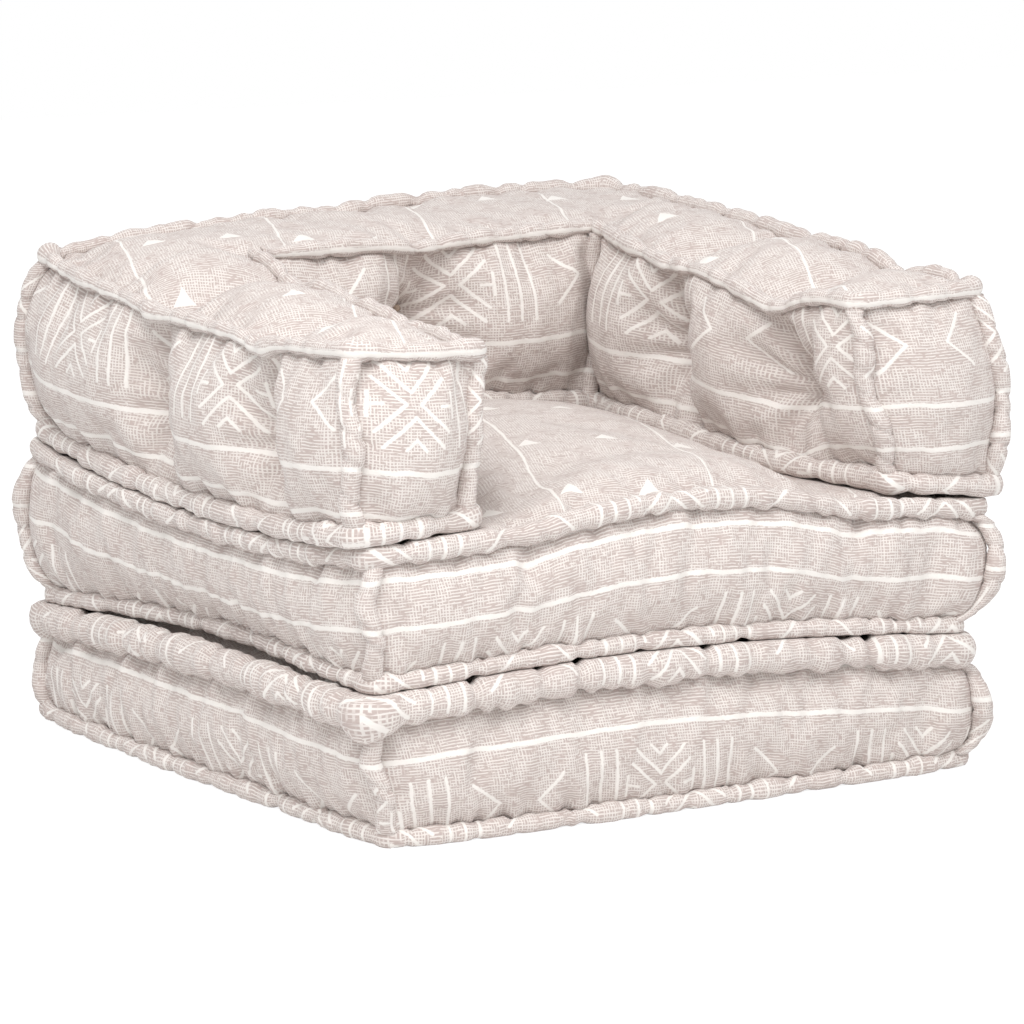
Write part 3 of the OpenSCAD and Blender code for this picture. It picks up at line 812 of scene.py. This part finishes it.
def tube_mesh(name, rings, map_u, map_v, closed, map_across=False):
    """rings is an array of rings of points. map_u gives metres of cloth along the tube and map_v
    round it, with one more value wherever the cloth closes on itself. map_across swaps the two,
    for a tube that runs down the cloth."""
    count, sides = rings.shape[:2]
    near, side = np.mgrid[:count if closed else count - 1, :sides]
    far, next_side = (near + 1) % count, (side + 1) % sides
    faces = np.stack([near * sides + side, near * sides + next_side,
                      far * sides + next_side, far * sides + side], -1).reshape(-1, 4).tolist()
    here, there = map_u[near], map_u[near + 1]
    maps = np.stack([here, map_v[near, side], here, map_v[near, side + 1],
                     there, map_v[far, side + 1], there, map_v[far, side]], -1).reshape(-1, 2)
    points = rings.reshape(-1, 3)
    if not closed:
        for ring in (0, count - 1):
            first = [[ring * sides + k, ring * sides + (k + 1) % sides] for k in range(sides)]
            faces += [(pair if ring else pair[::-1]) + [len(points)] for pair in first]
            at_cap = np.stack([np.full(sides, map_u[ring]), map_v[ring, :sides]], 1)
            maps = np.concatenate([maps, np.repeat(at_cap, 3, axis=0)])
            points = np.concatenate([points, rings[ring].mean(0)[None]])
    return new_piece(name, points, faces, maps[:, ::-1] if map_across else maps)


# %% A roll along a seam, with its pinches
UP = np.array([0.0, 0.0, 1.0])
ROLL_PINCH = 0.36
ROLL_LUMP = 0.2
PINCH_WIDTH = 0.4        # half width of a pinch, in radii
PINCH_TURN = 0.8
ROLL_FULL = 0.14         # spare stuffing of a roll that is pressed by something else
PRESSED_HOLD = 0.65      # share of a pinch that is filled out again on the side that is pressed
RING_START = math.radians(-135)
PINCH_SLANT = 7 * MM


def pinched_rings(centre, out, over, angles, radius, lump, pinch_at):
    """Rings round a centre line. pinch_at gives the pinch of every ring at an angle round it."""
    radii = [radius * (1 + lump - ROLL_PINCH * pinch_at(a)) for a in angles]
    return np.stack([centre + (out * math.cos(a) + over * math.sin(a)) * r[:, None]
                     for a, r in zip(angles, radii)], 1)


def edge_roll(name, seam, side, radius, print_edge, corners, rests_on=None):
    """A roll along a seam. side is 1 over a top seam and -1 under a bottom one. A roll that
    touches another module, or the floor, is pressed flat at the level that it rests on."""
    angles = RING_START + np.arange(ROLL_SIDES + 1) * 2 * math.pi / ROLL_SIDES
    lump = ROLL_LUMP * seam.lumps(seam.run) + seam.ears(corners)
    if rests_on:
        lump += ROLL_FULL
    thin = np.minimum(1, 1 + lump - ROLL_PINCH * seam.puckers(seam.run, PINCH_WIDTH * radius))
    centre = seam.points + (seam.out + side * UP) * (radius * ROLL_RISE) * thin[:, None]

    def pinch_at(a):
        slanted = (seam.run + PINCH_SLANT * math.sin(a + PINCH_TURN)) % seam.length
        hold = PRESSED_HOLD * max(0.0, math.sin(a)) if rests_on else 0
        return seam.puckers(slanted, PINCH_WIDTH * radius) * (1 - hold)

    rings = pinched_rings(centre, seam.out, side * UP, angles[:-1], radius, lump, pinch_at)
    if rests_on:
        place = np.clip(np.moveaxis(rings[..., :2], -1, 0) / SEAM, -1, 1)
        nearer = np.minimum if side > 0 else np.maximum
        rings[..., 2] = nearer(rings[..., 2], rests_on(*place) - side * REST_GAP)
    map_u = np.concatenate([seam.run, [seam.length]])
    arc = radius * (angles - RING_START)
    map_v = np.tile(print_edge - side * arc, (len(seam.run), 1))
    if side < 0:
        rings, map_v = rings[:, ::-1], map_v[:, ::-1]
    return tube_mesh(name, rings, map_u, map_v, closed=True)


# %% Rolls over and under each cover
def seat_top_level(u, v):
    return level_b(u, v) + seat_swell(u, v)


rolls = {}
roll_sizes = {   # for each module: radius above and below, and what the roll touches above and below
    "base": (BASE_ROLL_R, LOWER_ROLL_R, level_a, floor_level),
    "seat": (ROLL_R, LOWER_ROLL_R, seat_top_level, level_a),
    "back": (ARM_ROLL_R, ROLL_R, None, level_b),
}
for module, (top_r, bottom_r, above, below) in roll_sizes.items():
    facts = covers[module][1]
    high_edge = float(facts["cut"].mean())
    low_edge = high_edge + float(facts["height"].mean())
    for end, side, radius, edge, rests_on in (("top", 1, top_r, high_edge, above),
                                              ("bottom", -1, bottom_r, low_edge, below)):
        rolls[f"{module}_{end}"] = edge_roll(
            f"{module}_{end}_rolled_edge", seams[f"{module}_{end}"], side, radius, edge,
            facts["corners"], rests_on)
print("rolls drawn:", ", ".join(rolls))


# %% [markdown]
# ### Rolls down the corners
# The two lengths of a wall meet at each corner in a roll of its own. It follows the corner of the
# finished cover and is tucked under the rolls above and below it. The rings are drawn as for the
# other rolls, with the corner of the wall as their line.

# %% Corner rolls
CORNER_STEP = 4 * MM
CORNER_STAND = 0.35      # how far a corner roll stands out of its corner, in radii
CORNER_SWAY = 4 * MM
CORNER_STITCH = 30 * MM
CORNER_PINCH = 3.2 * MM  # half width of a pinch
CORNER_WAVE = 13 * MM    # pace of its uneven thickness


def corner_roll(cover_points, facts, k, nook, seed):
    rng = np.random.default_rng(seed)
    column = np.array([cover_points[ring[k]] for ring in facts["rings"]])[::-1]
    run_at = np.concatenate([[0], np.cumsum(np.linalg.norm(np.diff(column, axis=0), axis=1))])
    height = run_at[-1]
    out2 = outward(facts["tops"][:, :2])[k]
    out = unit(np.array([out2[0], out2[1], 0.0]))
    cross = np.cross(UP, out)
    count = int(height / CORNER_STEP)
    run = np.linspace(0.01, 0.99, count) * height
    centre = np.stack([np.interp(run, run_at, column[:, axis]) for axis in range(3)], 1)
    stand = CORNER_ROLL_R * (1.0 if nook else CORNER_STAND)
    sway = CORNER_SWAY * np.sin(run / height * rng.uniform(7, 12) + rng.uniform(0, 6))
    centre = centre + out * stand + cross * sway[:, None]
    angles = math.pi + np.arange(ROLL_SIDES + 1) * 2 * math.pi / ROLL_SIDES
    stitches = np.cumsum(rng.uniform(0.6, 1.4, int(height / CORNER_STITCH) + 2) * CORNER_STITCH)
    pinches = rng.uniform(0.3, 1.0, len(stitches))
    wave = 0.1 * np.sin(run / CORNER_WAVE + seed)
    rings = pinched_rings(
        centre, out, cross, angles[:-1], CORNER_ROLL_R, wave,
        lambda a: bumps(run + PINCH_SLANT * math.sin(a), stitches, pinches, CORNER_PINCH))
    map_u = facts["cut"][k] + height - run
    arc = facts["run"][k] + CORNER_ROLL_R * (angles - 2 * math.pi)
    return tube_mesh("corner", rings, map_u, np.tile(arc, (count, 1)), closed=False, map_across=True)


def joined(name, parts):
    bpy.ops.object.select_all(action="DESELECT")
    for part in parts:
        part.select_set(True)
    bpy.context.view_layer.objects.active = parts[0]
    bpy.ops.object.join()
    parts[0].name = name
    return parts[0]


for module, (_, facts) in covers.items():
    parts = [corner_roll(columns[module], facts, k, nook, first_seed + n)
             for places, nook, first_seed in (("corners", False, 40), ("nooks", True, 60))
             for n, k in enumerate(facts[places])]
    rolls[module + "_corner"] = joined(module + "_corner_rolled_edges", parts)
    print(len(parts), "corner rolls on the", module)

# %% [markdown]
# ## Tie knots
# A waxed twine knot sits at the bottom of every dimple, at each end of a tie that runs through the
# wall. A ball would do from afar. A tube of a few rings gives the knot a neck as well, and it draws
# the twine behind it in the same piece.

# %% Twine ties with knots
KNOT_R = 5 * MM
KNOT_SHAPE = [(-2.5, 0.1), (-2.2, 0.8), (-1.0, 1.0), (0.2, 0.8), (0.6, 0.3)]   # along and across, in radii
KNOT_SIDES = 12
co = points_of(back_cover.data)
tie_ends = [co[np.linalg.norm(co - columns["back"][vertex], axis=1).argmin()]
            for vertex in tuft_vertices(back_rim)]
parts = []
for a, b in zip(tie_ends[::2], tie_ends[1::2]):
    way = unit(b - a)
    side = unit(np.cross(way, UP))
    lift = np.cross(side, way)
    stations = [a + way * (t * KNOT_R) for t, _ in KNOT_SHAPE]
    stations += [b - way * (t * KNOT_R) for t, _ in KNOT_SHAPE[::-1]]
    radii = [KNOT_R * r for _, r in KNOT_SHAPE + KNOT_SHAPE[::-1]]
    angles = np.arange(KNOT_SIDES + 1) * 2 * math.pi / KNOT_SIDES
    rings = np.array([[p + (side * math.cos(t) + lift * math.sin(t)) * r for t in angles[:-1]]
                      for p, r in zip(stations, radii)])
    parts.append(tube_mesh("tie", rings, np.arange(len(stations)) * KNOT_R,
                           np.tile(angles * KNOT_R, (len(stations), 1)), closed=False))
tie_knots = joined("tuft_ties", parts)
print(len(parts), "ties with", len(tie_ends), "knots")


# %% [markdown]
# ## Materials
# The cloth is a pale taupe cotton with an off-white print in two layers: a fine hatch of short
# dashes, and a bold drawn pattern of stripes, bars, nested arrows and crosses. Both are drawn by
# nodes from the surface map, so they need no picture and stay sharp at any distance.

# %% A short way to write shader nodes
class Steps:
    """The nodes of one tree, written as a list of steps."""

    def __init__(self, tree):
        self.tree = tree

    def filled(self, made, values):
        """A node with values or links in its sockets."""
        for label, value in values.items():
            if isinstance(value, bpy.types.NodeSocket):
                self.tree.links.new(value, made.inputs[label])
            else:
                made.inputs[label].default_value = value
        return made

    def node(self, kind, values=None, **settings):
        made = self.tree.nodes.new("ShaderNode" + kind)
        for key, value in settings.items():
            setattr(made, key, value)
        return self.filled(made, values or {})

    def math(self, operation, *values, clamp=False):
        made = self.node("Math", dict(enumerate(values)), operation=operation, use_clamp=clamp)
        return made.outputs[0]

    def vector(self, operation, *values, **named):
        made = self.node("VectorMath", {**dict(enumerate(values)), **named}, operation=operation)
        return made.outputs["Value" if operation in ("DOT_PRODUCT", "LENGTH") else "Vector"]

    def mix(self, share, first, second):
        made = self.node("Mix", {"Factor": share, "A": first, "B": second}, data_type="RGBA")
        return made.outputs["Result"]

    def noise(self, vector, scale, detail=2.0, output="Fac"):
        made = self.node("TexNoise", {"Vector": vector, "Scale": scale, "Detail": detail})
        return made.outputs[output]

    def step(self, value, low, high):
        """Soft step from 0 at low to 1 at high."""
        values = {"Value": value, "From Min": low, "From Max": high}
        return self.node("MapRange", values, interpolation_type="SMOOTHSTEP").outputs["Result"]

    def split(self, vector):
        made = self.node("SeparateXYZ", {"Vector": vector})
        return made.outputs["X"], made.outputs["Y"]

    def join(self, x, y):
        return self.node("CombineXYZ", {"X": x, "Y": y}).outputs[0]

    def drift(self, vector, scale, amount):
        """The vector, moved about by slow noise, as a hand moves a brush."""
        cloud = self.noise(vector, scale, output="Color")
        centred = self.vector("SUBTRACT", cloud, (0.5, 0.5, 0.5))
        return self.vector("ADD", vector, self.vector("SCALE", centred, Scale=amount))


# %% Node groups for what several materials share
class Group(Steps):
    """A node group that reads the surface map and gives masks or heights."""

    def __init__(self, name, outputs=("Mask",)):
        super().__init__(bpy.data.node_groups.new(name, "ShaderNodeTree"))
        self.tree.interface.new_socket("Cloth", in_out="INPUT", socket_type="NodeSocketVector")
        for label in outputs:
            self.tree.interface.new_socket(label, in_out="OUTPUT", socket_type="NodeSocketFloat")
        self.cloth = self.tree.nodes.new("NodeGroupInput").outputs["Cloth"]
        self.output = self.tree.nodes.new("NodeGroupOutput")

    def put(self, label, value):
        self.tree.links.new(value, self.output.inputs[label])


# %% [markdown]
# ### The hatch
# Dashes are a sine wave across the cloth, cut short by noise that is stretched along them. Two
# slow noises choose where they run along, where they run down, and where both cross. A brick or
# checker texture would be quicker, but it is far too even for a cloth that is printed by hand.

# %% Hatch group
HATCH_PITCH = 3.0 * MM
hatch = Group("woven hatch", ("Mask", "Height"))
cloth_place = hatch.drift(hatch.cloth, 50.0, 3.0 * MM)
along, down = hatch.split(cloth_place)


def dashes(across, stretch, seed):
    wave = hatch.math("SINE", hatch.math("MULTIPLY", across, 2 * math.pi / HATCH_PITCH))
    place = hatch.vector("ADD", hatch.vector("MULTIPLY", cloth_place, stretch), seed)
    cut = hatch.step(hatch.noise(place, 1.0, 1.0), 0.37, 0.47)
    return hatch.math("MULTIPLY", hatch.step(wave, -0.1, 0.6), cut)


def patches(offset, scale, low, high):
    place = hatch.vector("ADD", hatch.cloth, offset)
    return hatch.step(hatch.noise(place, scale, 3.0), low, high)


along_dashes = dashes(down, (120.0, 400.0, 1.0), (0.0, 0.0, 3.0))
down_dashes = dashes(along, (400.0, 120.0, 1.0), (7.0, 2.0, 9.0))
some_along = hatch.math("MULTIPLY", along_dashes, patches((0.0, 0.0, 0.0), 34.0, 0.20, 0.38))
some_down = hatch.math("MULTIPLY", down_dashes, patches((3.1, 1.7, 0.4), 40.0, 0.38, 0.54))
specks = hatch.step(hatch.noise(hatch.cloth, 240.0, 1.0), 0.66, 0.74)
hatch.put("Mask", hatch.math("MAXIMUM", hatch.math("MAXIMUM", some_along, some_down), specks))
weave = hatch.noise(hatch.vector("MULTIPLY", cloth_place, (500.0, 900.0, 1.0)), 1.0)
crumple = hatch.math("MULTIPLY", hatch.noise(hatch.cloth, 55.0, 3.0), 5.0)
hatch.put("Height", hatch.math("ADD", weave, crumple))
print("hatch of", len(hatch.tree.nodes), "nodes")

# %% [markdown]
# ### The drawn pattern
# The figure is mirrored left to right and top to bottom, so the place on the cloth is folded twice
# and only a quarter is drawn: half an arrow, half a cross arm, three bars and one stripe.
# Each stroke is the distance to a short line, and the nearest stroke wins.

# %% Wall print group
REPEAT = 344 * MM          # along the wall, from one cross to the next
ROW = 178 * MM             # down the wall, from one row of crosses to the next
STRIPE = 65 * MM           # from the middle of a cross to the stripe beside it
STROKE = 1.9 * MM
CROSS_STROKES = [
    ((0, 12), (30, 41)), ((0, 33), (10, 43)),
    ((7, 0), (36, 26)), ((41, 0), (41, 12)), ((28, 0), (38, 0)),
]
BAR_STROKES = [((x, 0), (x, 42)) for x in (54, 71, 89)]
ARROW_STROKES = [((150, 0), (121, 27))]

wall = Group("wall print")
drawn = wall.drift(wall.cloth, 14.0, 9 * MM)
x, y = wall.split(wall.drift(drawn, 170.0, 1.6 * MM))
folded_y = wall.math("PINGPONG", y, ROW / 2)
folded = wall.join(wall.math("PINGPONG", x, REPEAT / 2), folded_y)


def stroke_distance(start, end):
    """Distance to a short line between two points, given in millimetres."""
    first = Vector((*start, 0)) * MM
    way = Vector((*end, 0)) * MM - first
    offset = wall.vector("SUBTRACT", folded, tuple(first))
    share = wall.math("MULTIPLY", wall.vector("DOT_PRODUCT", offset, tuple(way)),
                            1 / way.length_squared, clamp=True)
    along_way = wall.vector("SCALE", tuple(way), Scale=share)
    return wall.vector("LENGTH", wall.vector("SUBTRACT", offset, along_way))


nearest = wall.math("ABSOLUTE", wall.math("SUBTRACT", folded_y, STRIPE))
nearest = wall.math("SUBTRACT", nearest, 0.9 * MM)
for start, end in CROSS_STROKES + BAR_STROKES + ARROW_STROKES:
    nearest = wall.math("MINIMUM", nearest, stroke_distance(start, end))
ragged = wall.math("SUBTRACT", wall.noise(wall.cloth, 420.0), 0.5)
nearest = wall.math("ADD", nearest, wall.math("MULTIPLY", ragged, 2.4 * MM))
bare = wall.step(nearest, STROKE - 0.7 * MM, STROKE + 0.5 * MM)
wall.put("Mask", wall.math("SUBTRACT", 1.0, bare))
print("wall print of", len(wall.tree.nodes), "nodes")

# %% [markdown]
# ### The print of the faces
# The faces are cut from another part of the cloth, with thin lines and rows of small triangles. A
# triangle is the overlap of two slopes in a cell that repeats.

# %% Panel print group
LINE_GAP = 175 * MM
TRIANGLE_GAP = 84 * MM
TRIANGLE_SIZE = 14 * MM
panel = Group("panel print")
drawn = panel.drift(panel.cloth, 12.0, 16 * MM)
x, y = panel.split(panel.drift(drawn, 170.0, 1.6 * MM))
line_gap = panel.math("PINGPONG", panel.math("ADD", x, 0.03), LINE_GAP / 2)
lines = panel.math("SUBTRACT", 1.0, panel.step(line_gap, 1.0 * MM, 2.2 * MM))
cell_x = panel.math("PINGPONG", panel.math("ADD", x, 0.012), TRIANGLE_GAP / 2)
cell_y = panel.math("WRAP", y, TRIANGLE_GAP, -TRIANGLE_GAP)
slope = panel.math("SUBTRACT", TRIANGLE_SIZE, panel.math("MULTIPLY", cell_x, 1.7))
inside = panel.math("MINIMUM", panel.math("SUBTRACT", slope, cell_y),
                          panel.math("ADD", cell_y, TRIANGLE_SIZE * 0.7))
triangles = panel.step(inside, 0.0, 1.4 * MM)
panel.put("Mask", panel.math("MAXIMUM", lines, triangles))
print("panel print of", len(panel.tree.nodes), "nodes")

# %% [markdown]
# ### The cotton
# Cotton scatters light with a faint soft sheen and no gloss. The print sits a hair above the
# ground, and the slubs of the weave give a fine bump.

# %% Cotton materials
GROUND = (0.492, 0.410, 0.383, 1)
INK = (0.805, 0.768, 0.732, 1)
HATCH_STRENGTH = 0.77
PRINT_HEIGHT = 0.5


def new_material(name, values):
    """A material, the steps of its tree, and its shader with the values on its sockets."""
    material = bpy.data.materials.new(name)
    material.use_nodes = True
    steps = Steps(material.node_tree)
    return material, steps, steps.filled(steps.tree.nodes["Principled BSDF"], values)


def cotton(name, print_group):
    material, steps, shader = new_material(name, {
        "Roughness": 0.9, "Specular IOR Level": 0.2, "Sheen Weight": 0.12, "Sheen Roughness": 0.6,
    })
    cloth = steps.node("UVMap", uv_map="print").outputs[0]
    fine, bold = (steps.node("Group", {"Cloth": cloth}, node_tree=group.tree).outputs
                  for group in (hatch, print_group))
    faint = steps.math("MULTIPLY", fine["Mask"], HATCH_STRENGTH)
    ink = steps.math("MAXIMUM", faint, bold["Mask"])
    raised = steps.math("MULTIPLY_ADD", ink, PRINT_HEIGHT, fine["Height"])
    bump = steps.node("Bump", {"Strength": 0.7, "Distance": 0.6 * MM, "Height": raised})
    steps.filled(shader, {"Base Color": steps.mix(ink, GROUND, INK), "Normal": bump.outputs[0]})
    return material


wall_cotton = cotton("printed cotton, walls", wall)
panel_cotton = cotton("printed cotton, faces", panel)
for cover, _ in covers.values():
    cover.data.materials.append(panel_cotton)
    cover.data.materials.append(wall_cotton)
for roll in rolls.values():
    roll.data.materials.append(wall_cotton)
print("materials:", wall_cotton.name, "and", panel_cotton.name)

# %% [markdown]
# ### The twine
# The ties are of a waxed twine, a little darker than the cotton. Fine bands of two browns stand
# for its strands, which are too thin here for a mesh of their own.

# %% Twine material
TWINE_DARK = (0.30, 0.22, 0.17, 1)
TWINE_PALE = (0.52, 0.41, 0.32, 1)
twine, steps, shader = new_material("waxed twine", {"Roughness": 0.7})
strands = steps.node("TexWave", {"Scale": 180, "Distortion": 1.5}).outputs["Fac"]
steps.filled(shader, {"Base Color": steps.mix(strands, TWINE_DARK, TWINE_PALE)})
tie_knots.data.materials.append(twine)
print("material:", twine.name)

# %% [markdown]
# ## What each piece stands for
# Each cover stands for its panels, its band and its filling, and each roll for one node. Every
# piece rides on the body of its own module, so that the modules lift off each other.

# %% Ride and replace
for body, (cover, _) in covers.items():
    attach(cover, body)
    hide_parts(body + "_top_panel", body + "_bottom_panel", body + "_side_band", body + "_filling")
    for part in ("top", "bottom", "corner"):
        roll = rolls[f"{body}_{part}"]
        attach(roll, body)
        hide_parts(f"{body}_corner_rolls" if part == "corner" else f"{body}_{part}_roll")
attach(tie_knots, "back")
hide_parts("back_tuft_ties")
print(len(rolls) + len(covers) + 1, "pieces declared")

# %% [markdown]
# ## Stage and light
# A plain pale floor and even studio light. A sky picture could light it, but a few soft lamps and
# a white sky show the colours about as they are written.

# %% Floor
WHITE_SHARE = 0.7        # share of the floor's look that is a plain white, for the camera alone
WHITE_STRENGTH = 1.25
bpy.ops.mesh.primitive_plane_add(size=14, location=(0, 0, -0.4 * MM))
floor = bpy.context.object
floor.name = "floor"
floor_paint, steps, shader = new_material("pale floor", {
    "Base Color": (0.9, 0.9, 0.9, 1), "Roughness": 0.9, "Specular IOR Level": 0.0,
})
white = steps.node("Emission", {"Strength": WHITE_STRENGTH}).outputs[0]
seen = steps.node("LightPath").outputs["Is Camera Ray"]
share = steps.math("MULTIPLY", seen, WHITE_SHARE)
mixed = steps.node("MixShader", {0: share, 1: shader.outputs[0], 2: white})
steps.filled(steps.tree.nodes["Material Output"], {"Surface": mixed.outputs[0]})
floor.data.materials.append(floor_paint)
print("material:", floor_paint.name)

# %% World and lamps
WORLD_LIGHT = 0.65       # strength of the sky's light. The sky itself is seen white.
world = bpy.data.worlds.new("studio")
scene.world = world
world.use_nodes = True
steps = Steps(world.node_tree)
path = steps.node("LightPath").outputs
seen = path["Is Camera Ray"]
for ray in ("Is Glossy Ray", "Is Transmission Ray"):
    seen = steps.math("MAXIMUM", seen, path[ray])
steps.filled(steps.tree.nodes["Background"], {
    "Color": (1, 1, 1, 1), "Strength": steps.math("MULTIPLY_ADD", seen, 1 - WORLD_LIGHT, WORLD_LIGHT),
})

LAMPS = [   # name, place, size and power
    ("key", (-1.4, -1.6, 2.6), 1.4, 57),
    ("front", (1.0, -2.8, 2.4), 1.6, 26),
    ("side", (-3.0, -1.2, 1.6), 2.0, 4),
    ("top", (-0.9, 0.9, 2.8), 1.8, 7),
]
for name, place, size, power in LAMPS:
    data = bpy.data.lights.new(name, "AREA")
    data.size, data.energy = size, power
    aimed(name, data, place)
print("lamps:", ", ".join(lamp[0] for lamp in LAMPS))
scene.view_settings.view_transform = "Standard"
